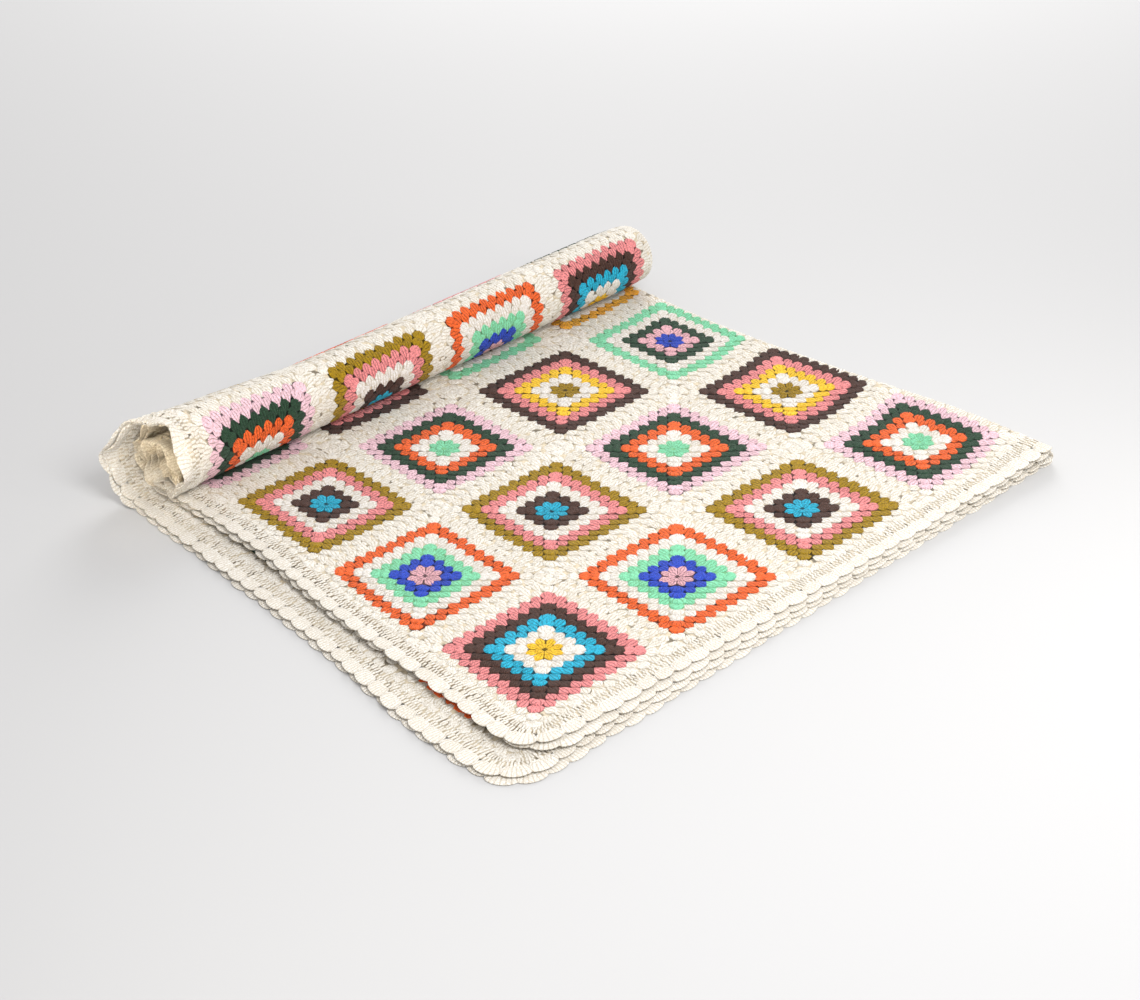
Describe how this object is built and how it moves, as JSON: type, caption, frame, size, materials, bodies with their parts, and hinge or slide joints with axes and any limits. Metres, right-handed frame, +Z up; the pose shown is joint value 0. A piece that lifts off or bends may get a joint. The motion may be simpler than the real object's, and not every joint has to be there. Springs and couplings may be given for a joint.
{
  "type": "granny square blanket",
  "caption": "Crocheted cotton blanket of joined granny squares with a scalloped shell edging, folded in layers, lying flat with its far end rolled up.",
  "frame": {"origin": "middle of the bounding box, on the surface the blanket lies on", "axes": "+X from the open left edges across the stack to its fold, +Y from the open front edges to the roll, +Z up"},
  "size_m": [0.7318, 0.602, 0.0887],
  "materials": {
    "cream_cotton": "matt crocheted cotton"
  },
  "bodies": {
    "root": {"joined_squares": "cream_cotton", "shell_edging": "cream_cotton"}
  },
  "joints": []
}
